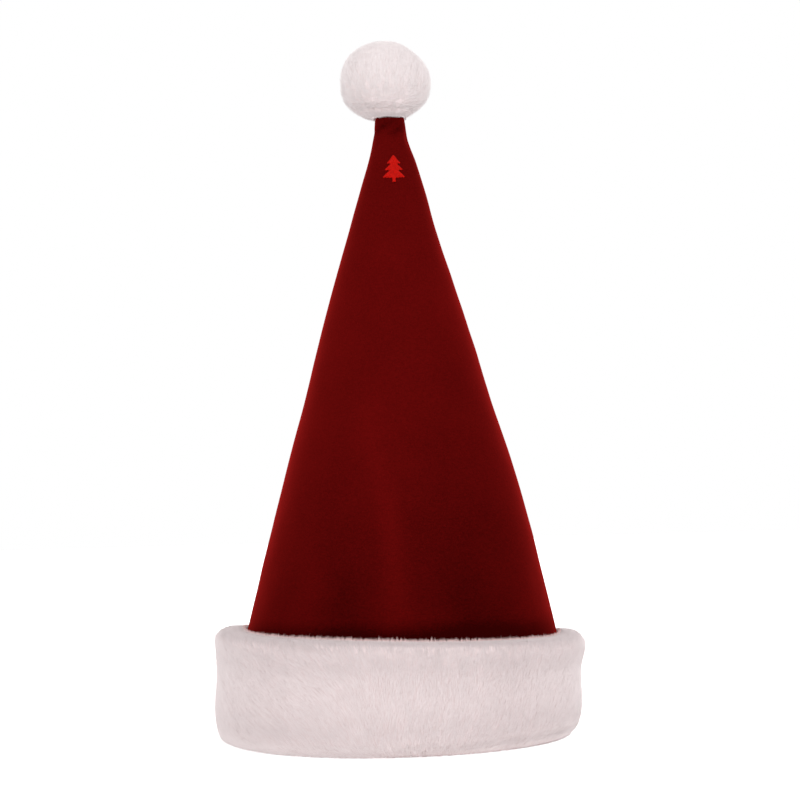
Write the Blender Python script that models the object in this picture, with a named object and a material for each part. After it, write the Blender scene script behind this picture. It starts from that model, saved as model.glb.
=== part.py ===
"""Santa hat that stands upright on its turned-up cuff.

A hollow velvet crown rises out of a plush cuff and carries a plush pompom on its
closed tip. A small raised fir is embroidered near the tip.
Units are metres, +Z is up and the front of the hat faces -Y. A bearing is an angle
round the hat in degrees: 0 at the front, 90 at +X, 180 at the back.
"""

import math

import bmesh
import bpy
import numpy as np

# Driving sizes
HEAD_WIDTH = 0.1866  # inside the crown at its hem, for a head girth of 586 mm
CLOTH_WALL = 0.0018  # velvet with its backing
CONE_HEIGHT = 0.318  # from the shoulder, where the crown starts to narrow, to the neck
HEM_LIFT = 0.003  # the crown's hem above the surface that the cuff stands on
CUFF_HEIGHT = 0.0655
CUFF_WALL = 0.0154  # thickness of the rolled plush
CUFF_SHIFT = 0.0021  # the crown stands this far to +X of the cuff's middle
CUFF_LEAN = 0.0020  # the cuff's outer face leans this far to +X from foot to crest
SHOULDER_DROP = 0.006  # the shoulder lies this far under the cuff's crest
POMPOM_WIDTH = 0.0550
POMPOM_HEIGHT = 0.0492
POMPOM_SHIFT = -0.0022  # sideways from the tip of the crown
POMPOM_LIFT = 0.0002  # the underside of its plush above the neck
TIP_HEIGHT = 0.0052  # the closed tip above the neck
FIR_HEIGHT = 0.0172
FIR_BELOW_NECK = 0.0328  # the fir's middle below the neck
FIR_BEARING = 3.0
THREAD_HEIGHT = 0.0009  # the embroidery's relief
SEAT_GAP = 0.0003  # clearance between touching pieces
CUFF_LOCK_RELIEF = 0.0009  # how far locks of plush stand out of the cuff
POMPOM_LOCK_RELIEF = 0.0011

# How finely each piece is faceted
CROWN_COLUMNS = 46
CUFF_COLUMNS = 96
POMPOM_COLUMNS = 46
POMPOM_ROWS = 22

# Crown, from the shoulder to the neck. rise: share of CONE_HEIGHT.
# radius and drift (the section's shift to +X): shares of the hem's outer radius.
CROWN_SECTIONS = {
    "rise":   (0.000, 0.100, 0.220, 0.340, 0.455, 0.570, 0.690, 0.800, 0.865, 0.915, 0.960, 1.000),
    "radius": (1.000, 0.921, 0.823, 0.713, 0.601, 0.494, 0.378, 0.267, 0.207, 0.158, 0.117, 0.096),
    "drift":  (0.000, 0.010, 0.019, 0.020, 0.015, 0.014, 0.012, 0.013, 0.017, 0.017, 0.010, 0.009),
}
CROWN_DEPTH = 0.985  # front to back, as a share of side to side
CROWN_ROWS_IN_CUFF = 3
CROWN_ROWS_IN_CONE = 20
TIP_ROWS = 3

# Soft folds of the crown. middle and half_angle in degrees of bearing; low, peak and
# high: shares of CONE_HEIGHT; push: outwards, a share of the hem's outer radius.
CROWN_FOLDS = (
    {"middle": -3, "half_angle": 16, "low": 0.00, "peak": 0.10, "high": 0.42, "push": 0.013},
    {"middle": -24, "half_angle": 17, "low": 0.00, "peak": 0.05, "high": 0.24, "push": -0.020},
    {"middle": 24, "half_angle": 20, "low": 0.00, "peak": 0.05, "high": 0.32, "push": -0.020},
    {"middle": -20, "half_angle": 24, "low": 0.30, "peak": 0.42, "high": 0.56, "push": 0.010},
    {"middle": 72, "half_angle": 40, "low": 0.92, "peak": 0.965, "high": 1.00, "push": -0.010},
    {"middle": 150, "half_angle": 26, "low": 0.00, "peak": 0.07, "high": 0.45, "push": -0.014},
    {"middle": -140, "half_angle": 24, "low": 0.00, "peak": 0.06, "high": 0.36, "push": -0.016},
)

# Section of the cuff, from the flat foot up the outer face, over the crest and down
# the inner face. height: share of the cuff's height; reach: share of its wall.
CUFF_SECTION = {
    "height": (0.000, 0.008, 0.045, 0.100, 0.180, 0.290, 0.420, 0.530, 0.620, 0.710, 0.800, 0.875, 0.935,
               0.980, 1.000, 0.992, 0.970, 0.930, 0.050, 0.000),
    "reach":  (0.460, 0.670, 0.850, 0.945, 0.985, 1.000, 0.985, 0.955, 0.950, 0.970, 0.995, 0.980, 0.925,
               0.810, 0.600, 0.340, 0.120, 0.000, 0.000, 0.090),
}
HUG_START = 0.93  # above this share of its height the inner face follows the narrowing crown
OUTER_FACE_ROWS = (2, 13)  # the first and last of those rows that carry locks of plush
CREST_TILT = 0.055  # the crest is this share of its height higher at -X than on average
CREST_BACK_DIP = 0.055  # and this share lower round the back
BACK_START = 0.55  # how far behind the hat's middle the dip is whole, a share of its depth
CORNER_TILT = 0.80  # the lower outer corner is this share rounder at +X than on average
CORNER_TOP = 0.30  # the corner ends at this share of the cuff's height

# A lock of plush spans this many rows of faces, and two columns
LOCK_ROWS = 4

# Outline of the pompom: how square its lower and upper halves are (2 is an ellipse)
POMPOM_LOWER_POWER = 2.5
POMPOM_UPPER_POWER = 2.05
POMPOM_RIM = 0.0022  # the rolled edge round its seat
POMPOM_BLEND = 60  # degrees of its outline over which it shifts from the tip's axis to its own

# The fir, from the foot of its trunk to its top: three tiers of drooping boughs.
# up: share of FIR_HEIGHT; half_width: share of FIR_HEIGHT.
FIR_ROWS = {
    "up":         (0.000, 0.150, 0.235, 0.350, 0.450, 0.500, 0.600, 0.690, 0.735, 0.850, 1.000),
    "half_width": (0.050, 0.050, 0.430, 0.290, 0.140, 0.350, 0.220, 0.110, 0.255, 0.140, 0.015),
}
FIR_DROOP = 0.14  # how far the tips of boughs hang, a share of their half width
FIR_ACROSS = (-1.00, -0.70, -0.35, 0.00, 0.35, 0.70, 1.00)  # shares of the half width
FIR_EDGE = 0.45  # relief at the outline, a share of the relief at the middle

# Worked out from the driving sizes
HEM_RADIUS = HEAD_WIDTH / 2 + CLOTH_WALL
SHOULDER_Z = CUFF_HEIGHT - SHOULDER_DROP
NECK_Z = SHOULDER_Z + CONE_HEIGHT
CUFF_OUTER = HEM_RADIUS + SEAT_GAP + CUFF_WALL
TIP_RADIUS = HEM_RADIUS * CROWN_SECTIONS["radius"][-1]
TIP_MIDDLE = CUFF_SHIFT + HEM_RADIUS * CROWN_SECTIONS["drift"][-1]


def follow(table, column, at):
    """Value of a column of a table by rise, on a smooth curve through its rows."""
    rises = np.array(table["rise"])
    values = np.array(table[column])
    slopes = np.gradient(values, rises)
    row = min(max(int(np.searchsorted(rises, at, side="right")) - 1, 0), len(rises) - 2)
    step = rises[row + 1] - rises[row]
    t = min(max((at - rises[row]) / step, 0.0), 1.0)
    start = (1 + 2 * t) * (1 - t) ** 2 * values[row] + t * (1 - t) ** 2 * step * slopes[row]
    end = t * t * (3 - 2 * t) * values[row + 1] + t * t * (t - 1) * step * slopes[row + 1]
    return float(start + end)


def ease(share):
    """Goes smoothly from 0 to 1."""
    share = min(max(share, 0.0), 1.0)
    return share * share * (3 - 2 * share)


def hump(at, low, peak, high):
    """A smooth hump, 1 at its peak and 0 at and beyond low and high."""
    return ease((at - low) / (peak - low)) if at < peak else ease((high - at) / (high - peak))


def outwards(bearing):
    """Unit direction outwards at a bearing, as x and y."""
    angle = math.radians(bearing)
    return math.sin(angle), -math.cos(angle)


def bearings(columns):
    """Bearings of the columns of a ring, from the front round by +X."""
    return [360 * column / columns for column in range(columns)]


def crown_radius(bearing, rise):
    """Outer radius of the crown, side to side, with its folds."""
    radius = follow(CROWN_SECTIONS, "radius", rise)
    for fold in CROWN_FOLDS:
        away = (bearing - fold["middle"] + 180) % 360 - 180
        across = hump(away, -fold["half_angle"], 0, fold["half_angle"])
        radius += fold["push"] * across * hump(rise, fold["low"], fold["peak"], fold["high"])
    return HEM_RADIUS * radius


def crown_point(bearing, height, lift=0.0):
    """Point on the crown's outer face, or lifted off it."""
    rise = max(0.0, (height - SHOULDER_Z) / CONE_HEIGHT)
    radius = crown_radius(bearing, rise) + lift
    across, deep = outwards(bearing)
    middle = CUFF_SHIFT + HEM_RADIUS * follow(CROWN_SECTIONS, "drift", rise)
    return (middle + radius * across, CROWN_DEPTH * radius * deep, height)


def plain_material(name, colour, roughness, sheen):
    """A Principled material in one colour."""
    material = bpy.data.materials.new(name)
    material.use_nodes = True
    shader = material.node_tree.nodes["Principled BSDF"]
    shader.inputs["Base Color"].default_value = (*colour, 1.0)
    shader.inputs["Roughness"].default_value = roughness
    shader.inputs["Sheen Weight"].default_value = sheen
    shader.inputs["Metallic"].default_value = 0.0
    material.diffuse_color = (*colour, 1.0)
    return material


def add_rings(mesh_edit, rings):
    """Vertices of each ring of points, with faces from each ring to the next."""
    made = [[mesh_edit.verts.new(point) for point in ring] for ring in rings]
    for lower, upper in zip(made, made[1:]):
        bridge(mesh_edit, lower, upper)
    return made


def bridge(mesh_edit, lower, upper):
    """Faces between two rings with as many vertices each."""
    count = len(lower)
    for i in range(count):
        j = (i + 1) % count
        mesh_edit.faces.new((lower[i], lower[j], upper[j], upper[i]))


def add_pole(mesh_edit, ring, point):
    """A fan of faces from a ring to one point."""
    pole = mesh_edit.verts.new(point)
    for i in range(len(ring)):
        mesh_edit.faces.new((ring[i], ring[(i + 1) % len(ring)], pole))


def finish_piece(name, mesh_edit, material, smooth_angle=50):
    """Makes an object of the edited mesh, shaded smooth, in its own material."""
    bmesh.ops.recalc_face_normals(mesh_edit, faces=mesh_edit.faces[:])
    mesh = bpy.data.meshes.new(name)
    mesh_edit.to_mesh(mesh)
    mesh_edit.free()
    mesh.materials.append(material)
    mesh.shade_smooth()
    mesh.set_sharp_from_angle(angle=math.radians(smooth_angle))
    made = bpy.data.objects.new(name, mesh)
    bpy.context.scene.collection.objects.link(made)
    return made


def make_crown(material):
    """The velvet cone: one sheet from the open hem to the closed tip, then its wall."""
    heights = list(np.linspace(HEM_LIFT, SHOULDER_Z, CROWN_ROWS_IN_CUFF, endpoint=False))
    heights += list(np.linspace(SHOULDER_Z, NECK_Z, CROWN_ROWS_IN_CONE))
    rings = [[crown_point(b, height) for b in bearings(CROWN_COLUMNS)] for height in heights]
    for row in range(1, TIP_ROWS):
        turn = math.radians(90) * row / TIP_ROWS
        radius = TIP_RADIUS * math.cos(turn)
        height = NECK_Z + TIP_HEIGHT * math.sin(turn)
        ring = []
        for across, deep in map(outwards, bearings(CROWN_COLUMNS)):
            ring.append((TIP_MIDDLE + radius * across, CROWN_DEPTH * radius * deep, height))
        rings.append(ring)
    mesh_edit = bmesh.new()
    made = add_rings(mesh_edit, rings)
    add_pole(mesh_edit, made[-1], (TIP_MIDDLE, 0.0, NECK_Z + TIP_HEIGHT))
    crown = finish_piece("crown", mesh_edit, material)
    wall = crown.modifiers.new("cloth wall", "SOLIDIFY")
    wall.thickness = CLOTH_WALL
    wall.offset = -1.0
    wall.use_even_offset = True
    return crown


def lock_relief(column, row):
    """Relief of overlapping locks, from -1 at a root to 1 before a tip; neighbours
    are staggered by half a lock."""
    along = (row + LOCK_ROWS / 2 * (column % 2)) % LOCK_ROWS
    return 2 * along / (LOCK_ROWS - 1) - 1


def crest_height(bearing):
    """Height of the cuff's crest: higher at -X, lower round the back."""
    across, deep = outwards(bearing)
    return CUFF_HEIGHT * (1 - CREST_TILT * across - CREST_BACK_DIP * ease(deep / BACK_START))


def corner_reach(bearing, height_share, reach):
    """Reach of the cuff's outer face, with its lower corner rounder towards +X."""
    below_top = max(0.0, 1 - height_share / CORNER_TOP)
    rounder = 1 + CORNER_TILT * outwards(bearing)[0] * ease(2 * below_top)
    return 1 - (1 - reach) * rounder


def cuff_ring(row):
    """Points of one row of the cuff's section, carried round the crown."""
    height_share = CUFF_SECTION["height"][row]
    first, last = OUTER_FACE_ROWS
    on_face = first <= row <= last
    ring = []
    for column, bearing in enumerate(bearings(CUFF_COLUMNS)):
        across, deep = outwards(bearing)
        reach = CUFF_SECTION["reach"][row]
        plush = 0.0
        if on_face:
            reach = corner_reach(bearing, height_share, reach)
            fade = math.sin(math.pi * (row - first + 0.5) / (last - first + 1))
            plush = CUFF_LOCK_RELIEF * fade * lock_relief(column, row)
        height = crest_height(bearing) * height_share
        lean = CUFF_LEAN * (height_share - 0.5)
        touched = height if height_share > HUG_START else HEM_LIFT
        inner = np.array(crown_point(bearing, touched, SEAT_GAP)[:2])
        outer = np.array((lean + CUFF_OUTER * across, CUFF_OUTER * deep))
        x, y = inner + (outer - inner) * reach + plush * np.array((across, deep))
        ring.append((x, y, height))
    return ring


def make_cuff(material):
    """The plush cuff: a closed roll of its section round the crown."""
    mesh_edit = bmesh.new()
    made = add_rings(mesh_edit, [cuff_ring(row) for row in range(len(CUFF_SECTION["height"]))])
    bridge(mesh_edit, made[-1], made[0])
    return finish_piece("cuff", mesh_edit, material)


def pompom_rows():
    """Rows from the middle of the pompom's seat out to its rim and up to its top. Each
    is a radius, a height, a share of the shift to its own axis and a share of plush."""
    seat = TIP_RADIUS + SEAT_GAP
    low = NECK_Z + POMPOM_LIFT
    half = POMPOM_HEIGHT / 2
    rows = [
        (seat * 0.60, NECK_Z + TIP_HEIGHT * 0.90 + SEAT_GAP, 0.0, 0.0),
        (seat * 0.98, NECK_Z + TIP_HEIGHT * 0.55 + SEAT_GAP, 0.0, 0.0),
        (seat + SEAT_GAP, low + POMPOM_RIM * 0.55, 0.0, 0.0),
        (seat + POMPOM_RIM * 0.7, low + POMPOM_RIM * 0.15, 0.1, 0.0),
    ]
    start = math.degrees(math.acos((seat + POMPOM_RIM * 2.5) / (POMPOM_WIDTH / 2)))
    angles = np.linspace(-start, 90, POMPOM_ROWS, endpoint=False)
    for row, angle in enumerate(angles):
        power = 2 / (POMPOM_LOWER_POWER if angle < 0 else POMPOM_UPPER_POWER)
        turn = math.radians(angle)
        radius = POMPOM_WIDTH / 2 * math.cos(turn) ** power
        height = low + half + math.copysign(abs(math.sin(turn)) ** power, angle) * half
        plush = min(1.0, row / 3, (POMPOM_ROWS - row) / 5)
        rows.append((radius, height, min(1.0, 0.3 + (angle + start) / POMPOM_BLEND), plush))
    return rows


def make_pompom(material):
    """The plush ball, with the seat for the crown's tip in its underside."""
    rings = []
    for row, (radius, height, shift, plush) in enumerate(pompom_rows()):
        middle = TIP_MIDDLE + POMPOM_SHIFT * shift
        ring = []
        for column, bearing in enumerate(bearings(POMPOM_COLUMNS)):
            across, deep = outwards(bearing)
            reach = radius + POMPOM_LOCK_RELIEF * plush * lock_relief(column, row)
            ring.append((middle + reach * across, reach * deep, height))
        rings.append(ring)
    mesh_edit = bmesh.new()
    made = add_rings(mesh_edit, rings)
    add_pole(mesh_edit, made[0], (TIP_MIDDLE, 0.0, NECK_Z + TIP_HEIGHT + SEAT_GAP))
    top = NECK_Z + POMPOM_LIFT + POMPOM_HEIGHT
    add_pole(mesh_edit, made[-1], (TIP_MIDDLE + POMPOM_SHIFT, 0.0, top))
    return finish_piece("pompom", mesh_edit, material)


def on_crown(across, up, lift):
    """Point of the embroidery, across and up from the fir's foot along the cloth."""
    height = NECK_Z - FIR_BELOW_NECK - FIR_HEIGHT / 2 + up
    rise = (height - SHOULDER_Z) / CONE_HEIGHT
    bearing = FIR_BEARING + math.degrees(across / crown_radius(FIR_BEARING, rise))
    return crown_point(bearing, height, lift)


def make_fir(material):
    """The embroidered fir: rows of thread across its outline, raised along the middle."""
    rings = []
    for up, half_width in zip(FIR_ROWS["up"], FIR_ROWS["half_width"]):
        face = []
        for across in FIR_ACROSS:
            out = across * half_width * FIR_HEIGHT
            hang = FIR_DROOP * half_width * FIR_HEIGHT * across * across
            relief = THREAD_HEIGHT * (1 - (1 - FIR_EDGE) * abs(across))
            face.append((out, up * FIR_HEIGHT - hang, relief))
        front = [on_crown(out, high, SEAT_GAP + relief) for out, high, relief in face]
        back = [on_crown(out, high, SEAT_GAP) for out, high, relief in reversed(face)]
        rings.append(front + back)
    mesh_edit = bmesh.new()
    made = add_rings(mesh_edit, rings)
    mesh_edit.faces.new(made[0])
    mesh_edit.faces.new(made[-1])
    return finish_piece("embroidered_fir", mesh_edit, material, smooth_angle=35)


def centre_on_base(pieces, carrier):
    """Moves the hat so that the origin is the middle of its box, on its foot."""
    corners = np.array([vertex.co for made in pieces for vertex in made.data.vertices])
    low, high = corners.min(0), corners.max(0)
    carrier.location = (-(low[0] + high[0]) / 2, -(low[1] + high[1]) / 2, -low[2])


def main():
    """Clears the scene and builds the hat."""
    for old in list(bpy.data.objects):
        bpy.data.objects.remove(old)
    velvet = plain_material("red velvet", (0.150, 0.0035, 0.0040), 0.85, 0.6)
    plush = plain_material("white plush", (0.820, 0.720, 0.720), 0.95, 0.3)
    thread = plain_material("bright red thread", (0.480, 0.0120, 0.0070), 0.55, 0.1)
    pieces = [make_crown(velvet), make_cuff(plush), make_pompom(plush), make_fir(thread)]
    hat = bpy.data.objects.new("hat", None)
    bpy.context.scene.collection.objects.link(hat)
    centre_on_base(pieces, hat)
    for made in pieces:
        made.parent = hat


main()
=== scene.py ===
# Santa hat in dark red velvet, with a turned-up cuff and a pompom in white plush.
# The hat's solids come in as a fixed frame, and each piece here dresses one of them.
# Metres, +Z up, the front faces -Y. A bearing runs round the hat in radians: 0 at the
# front, a quarter turn at +X.
import math

import bpy
import numpy as np
from mathutils import Matrix, Vector


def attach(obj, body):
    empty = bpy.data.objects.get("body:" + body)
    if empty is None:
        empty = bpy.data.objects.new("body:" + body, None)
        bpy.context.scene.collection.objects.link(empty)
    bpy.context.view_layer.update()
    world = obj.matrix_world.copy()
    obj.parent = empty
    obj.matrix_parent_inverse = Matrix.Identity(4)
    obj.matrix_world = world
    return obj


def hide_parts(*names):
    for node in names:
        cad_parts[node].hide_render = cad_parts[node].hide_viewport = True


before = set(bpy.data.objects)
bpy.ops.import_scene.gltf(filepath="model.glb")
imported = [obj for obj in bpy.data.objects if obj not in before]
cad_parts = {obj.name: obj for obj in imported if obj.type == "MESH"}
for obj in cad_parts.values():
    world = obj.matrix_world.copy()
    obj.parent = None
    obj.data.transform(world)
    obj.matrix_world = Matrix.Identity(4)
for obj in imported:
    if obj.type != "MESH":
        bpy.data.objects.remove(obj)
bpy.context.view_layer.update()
print("frame loaded:", sorted(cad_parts))


# Shapes that every piece uses

def ease(share):
    # From 0 to 1 with a level start and end: 3s^2 - 2s^3
    share = np.clip(share, 0.0, 1.0)
    return share * share * (3 - 2 * share)


def hump(at, low, peak, high):
    # Rises from 0 at low to 1 at peak and falls to 0 at high
    return np.where(at < peak, ease((at - low) / (peak - low)), ease((high - at) / (high - peak)))


def follow(rows, values, at):
    # A smooth curve through a table: between two rows a cubic with the table's slopes
    rows = np.asarray(rows, float)
    values = np.asarray(values, float)
    slopes = np.gradient(values, rows)
    row = np.clip(np.searchsorted(rows, at, side="right") - 1, 0, len(rows) - 2)
    step = rows[row + 1] - rows[row]
    t = np.clip((at - rows[row]) / step, 0.0, 1.0)
    start = (1 + 2 * t) * (1 - t) ** 2 * values[row] + t * (1 - t) ** 2 * step * slopes[row]
    end = t * t * (3 - 2 * t) * values[row + 1] + t * t * (t - 1) * step * slopes[row + 1]
    return start + end


def waves(points, length, seed, count=26):
    # Soft noise, mostly from -1 to 1: cosine waves of about one length, in random
    # directions and with random phases, added up
    rng = np.random.default_rng(seed)
    ways = rng.normal(size=(count, 3))
    ways /= np.linalg.norm(ways, axis=1, keepdims=True)
    ways *= 2 * math.pi / (length * rng.uniform(0.7, 1.5, (count, 1)))
    phases = rng.uniform(0, 2 * math.pi, count)
    return np.cos(points @ ways.T + phases).sum(-1) * 0.75 / math.sqrt(count)


def unit(vectors):
    return vectors / np.maximum(np.linalg.norm(vectors, axis=-1, keepdims=True), 1e-12)


def smoothNormals(surface, first, second, step=1e-4):
    # Cross product of the two slopes of a surface of two parameters
    across = surface(first + step, second) - surface(first - step, second)
    up = surface(first, second + step) - surface(first, second - step)
    return unit(np.cross(across, up))


def ringFaces(rows, columns):
    # Quads from each ring of points to the next, closed all round
    row, column = np.meshgrid(np.arange(rows - 1), np.arange(columns), indexing="ij")
    beside = (column + 1) % columns
    corners = [row * columns + column, row * columns + beside,
               (row + 1) * columns + beside, (row + 1) * columns + column]
    return np.stack(corners, -1).reshape(-1, 4)


def poleFaces(ring, pole, upwards=True):
    # Triangles from a ring of points to one point
    beside = np.roll(ring, -1)
    pole = np.full(len(ring), pole)
    corners = [ring, beside, pole] if upwards else [beside, ring, pole]
    return np.stack(corners, -1)


def newPiece(name, points, faces, materials):
    # One mesh object from an array of points and arrays of faces, at the origin
    corners = np.concatenate([part.ravel() for part in faces]).astype(np.int32)
    sizes = np.concatenate([np.full(len(part), part.shape[1]) for part in faces])
    starts = np.concatenate([[0], np.cumsum(sizes)[:-1]]).astype(np.int32)
    mesh = bpy.data.meshes.new(name)
    mesh.vertices.add(len(points))
    mesh.vertices.foreach_set("co", points.astype(np.float32).ravel())
    mesh.loops.add(len(corners))
    mesh.loops.foreach_set("vertex_index", corners)
    mesh.polygons.add(len(sizes))
    mesh.polygons.foreach_set("loop_start", starts)
    mesh.update(calc_edges=True)
    mesh.validate()
    mesh.shade_smooth()
    for material in materials:
        mesh.materials.append(material)
    piece = bpy.data.objects.new(name, mesh)
    bpy.context.scene.collection.objects.link(piece)
    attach(piece, "root")
    return piece


# Materials

def newMaterial(name, settings):
    # A Principled material; settings are constants on the shader's own sockets
    material = bpy.data.materials.new(name)
    material.use_nodes = True
    shader = material.node_tree.nodes["Principled BSDF"]
    for socket, value in settings.items():
        shader.inputs[socket].default_value = value
    return material


def addNode(material, kind, inputs=None, **options):
    # A node with its options and inputs; an input is a value or another node's output
    node = material.node_tree.nodes.new(kind)
    for option, value in options.items():
        setattr(node, option, value)
    for socket, value in (inputs or {}).items():
        if isinstance(value, bpy.types.NodeSocket):
            material.node_tree.links.new(value, node.inputs[socket])
        else:
            node.inputs[socket].default_value = value
    return node


def toShader(material, socket, output):
    shader = material.node_tree.nodes["Principled BSDF"]
    material.node_tree.links.new(output, shader.inputs[socket])


def objectNoise(material, scale, detail=2.0, roughness=0.5, stretch=(1, 1, 1)):
    # Noise on the piece's own coordinates, in cells a metre
    place = addNode(material, "ShaderNodeTexCoord").outputs["Object"]
    turned = addNode(material, "ShaderNodeMapping", {"Vector": place, "Scale": stretch})
    settings = {"Vector": turned.outputs[0], "Scale": scale, "Detail": detail, "Roughness": roughness}
    return addNode(material, "ShaderNodeTexNoise", settings).outputs["Fac"]


def ranged(material, value, low, high, toLow, toHigh):
    # The value's range from low to high becomes toLow to toHigh
    limits = {"Value": value, "From Min": low, "From Max": high, "To Min": toLow, "To Max": toHigh}
    return addNode(material, "ShaderNodeMapRange", limits).outputs["Result"]


def blendColours(material, share, first, second):
    node = addNode(material, "ShaderNodeMix", data_type="RGBA")
    colours = [socket for socket in node.inputs if socket.type == "RGBA"]
    for socket, value in ((node.inputs["Factor"], share), *zip(colours, (first, second))):
        if isinstance(value, bpy.types.NodeSocket):
            material.node_tree.links.new(value, socket)
        else:
            socket.default_value = (*value, 1.0) if socket.type == "RGBA" else value
    return next(socket for socket in node.outputs if socket.type == "RGBA")


velvetLook = {
    "deep": (0.022, 0.0005, 0.0005),  # darkest tone: painted shade in sunk folds, in creases and by the cuff and the pompom
    "bright": (0.120, 0.0027, 0.0025),  # lightest tone: up the cone, and painted light on raised folds
    "backing": (0.085, 0.006, 0.006),
    "sheen": 0.38,
    "sheenSpread": 0.37,
    "sheenTint": (1.0, 0.040, 0.035, 1.0),
    "patches": (22.0, 0.07),  # each noise: cells a metre, and its share in the tone
    "rows": (420.0, 0.10),
    "grain": (1500.0, 0.11),
    "rowStretch": (1.0, 1.0, 3.4),
    "napDepth": 0.00012,
    "knit": 900.0,  # cells a metre on the back of the cloth
    "knitDeep": 0.7,  # its darkest tone, a share of the backing colour
}


def velvetMaterial():
    # Dark red pile, with painted shade in sunk folds, in creases and by the cuff and the pompom,
    # painted light on raised folds, broad soft patches, the fine rows of its weave and a grain
    look = velvetLook
    made = newMaterial("red velvet", {
        "Roughness": 0.8, "Specular IOR Level": 0.0, "Sheen Weight": look["sheen"],
        "Sheen Roughness": look["sheenSpread"], "Sheen Tint": look["sheenTint"],
    })
    # The velvet's tone with its painted light and shade, from the crown's point attribute
    toneAndPaintedShade = addNode(made, "ShaderNodeAttribute", attribute_name="napAndPaintedShade").outputs["Fac"]
    patches = objectNoise(made, look["patches"][0], 3.0, 0.5)
    rows = objectNoise(made, look["rows"][0], 3.0, 0.65, look["rowStretch"])
    grain = objectNoise(made, look["grain"][0], 1.0, 0.6)
    tone = toneAndPaintedShade
    for part, name in ((patches, "patches"), (rows, "rows"), (grain, "grain")):
        share = look[name][1]
        centred = ranged(made, part, 0.3, 0.7, -share, share)
        tone = addNode(made, "ShaderNodeMath", {0: tone, 1: centred}, operation="ADD").outputs[0]
    toShader(made, "Base Color", blendColours(made, tone, look["deep"], look["bright"]))
    toShader(made, "Roughness", ranged(made, patches, 0.3, 0.7, 0.72, 0.86))
    settings = {"Strength": 0.5, "Distance": look["napDepth"], "Height": grain}
    napAndPaintedShade = addNode(made, "ShaderNodeBump", settings)
    toShader(made, "Normal", napAndPaintedShade.outputs[0])
    return made


def backingMaterial():
    # The knitted back of the velvet, inside the hat
    made = newMaterial("velvet backing", {"Roughness": 0.95, "Specular IOR Level": 0.1})
    knit = objectNoise(made, velvetLook["knit"], 1.0, 0.5, (1.0, 1.0, 0.5))
    colour = velvetLook["backing"]
    darker = tuple(velvetLook["knitDeep"] * channel for channel in colour)
    toShader(made, "Base Color", blendColours(made, knit, darker, colour))
    return made


pileLook = {
    "root": (0.80, 0.665, 0.66),  # painted shade at the hairs' roots, down between them; also the dark of the ground's mottling
    "tip": (0.98, 0.885, 0.885),
    "dim": (0.60, 0.520, 0.525),  # tip colour at tone 0, towards which painted shade on the crest and under the pompom draws
    "ground": (0.86, 0.760, 0.760),  # the cloth that they grow from
    "groundCells": 320.0,  # cells a metre of its mottling
    "groundDepth": 0.0004,
    "rootEnd": 0.55,  # share of a hair's length over which the painted shade at its root clears to the tip
    "mapName": "OFBake",  # tone of the hair across, root to tip up
}
# The pompom's plush is whiter; the fringe on the crest has painted red light thrown back from
# the cloth and painted shade towards its tips, which lie against it
pompomLook = dict(
    pileLook, root=(0.88, 0.77, 0.765), tip=(0.985, 0.915, 0.915), dim=(0.62, 0.555, 0.555),
    ground=(0.90, 0.815, 0.815),
)
fringePaintedRedBounce = dict(
    pileLook, root=(0.90, 0.80, 0.80), tip=(0.80, 0.52, 0.50), dim=(0.70, 0.40, 0.38), rootEnd=1.0,
)


def groundMaterial(name, look):
    # The plush's ground, seen between the hairs
    made = newMaterial(name, {"Roughness": 0.95, "Specular IOR Level": 0.1, "Sheen Weight": 0.2})
    tone = objectNoise(made, look["groundCells"], 3.0, 0.6)
    toShader(made, "Base Color", blendColours(made, tone, look["root"], look["ground"]))
    settings = {"Strength": 0.6, "Distance": look["groundDepth"], "Height": tone}
    bump = addNode(made, "ShaderNodeBump", settings)
    toShader(made, "Normal", bump.outputs[0])
    return made


def pileMaterial(name, look):
    # Hairs: painted shade at the root clears towards the tip, and each hair has a tone of its own
    made = newMaterial(name, {
        "Roughness": 0.7, "Specular IOR Level": 0.2, "Sheen Weight": 0.1, "Sheen Roughness": 0.5,
    })
    spot = addNode(made, "ShaderNodeUVMap", uv_map=look["mapName"]).outputs["UV"]
    parts = addNode(made, "ShaderNodeSeparateXYZ", {"Vector": spot}).outputs
    tip = blendColours(made, parts["X"], look["dim"], look["tip"])
    along = ranged(made, parts["Y"], 0.0, look["rootEnd"], 0.0, 1.0)
    toShader(made, "Base Color", blendColours(made, along, look["root"], tip))
    return made


threadLook = {"dark": (0.27, 0.003, 0.0012), "light": (0.60, 0.006, 0.0025), "cells": 900.0}


def threadMaterial():
    # Glossy satin stitch
    made = newMaterial("bright red thread", {"Roughness": 0.5, "Specular IOR Level": 0.05})
    tone = objectNoise(made, threadLook["cells"], 2.0, 0.5)
    toShader(made, "Base Color", blendColours(made, tone, threadLook["dark"], threadLook["light"]))
    return made


velvet = velvetMaterial()
backing = backingMaterial()
thread = threadMaterial()
cuffGround = groundMaterial("white plush ground", pileLook)
cuffPile = pileMaterial("white plush pile", pileLook)
fringePile = pileMaterial("plush fringe with painted red bounce", fringePaintedRedBounce)
pompomGround = groundMaterial("pompom ground", pompomLook)
pompomPile = pileMaterial("pompom pile", pompomLook)
print("materials made")


# Crown: a cone of cloth from the hem to the closed tip

crown = {
    "hemRadius": 0.0951,
    "wall": 0.0018,
    "hemLift": 0.003,
    "shoulder": 0.0595,  # the height where it starts to narrow
    "coneHeight": 0.318,
    "middle": 0.0021,
    "depth": 0.985,  # front to back, as a share of side to side
    "tipHeight": 0.0052,
    "columns": 210,
    "hemRows": 8,
    "coneRows": 132,
    "tipRows": 5,
    "slack": 0.00035,  # soft waviness of the cloth
    "slackWaves": (0.060, 0.022),  # lengths of its waves
    "calm": 0.03,  # metres over which it dies out at the cuff and at the neck
}
crown["neck"] = crown["shoulder"] + crown["coneHeight"]
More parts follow.
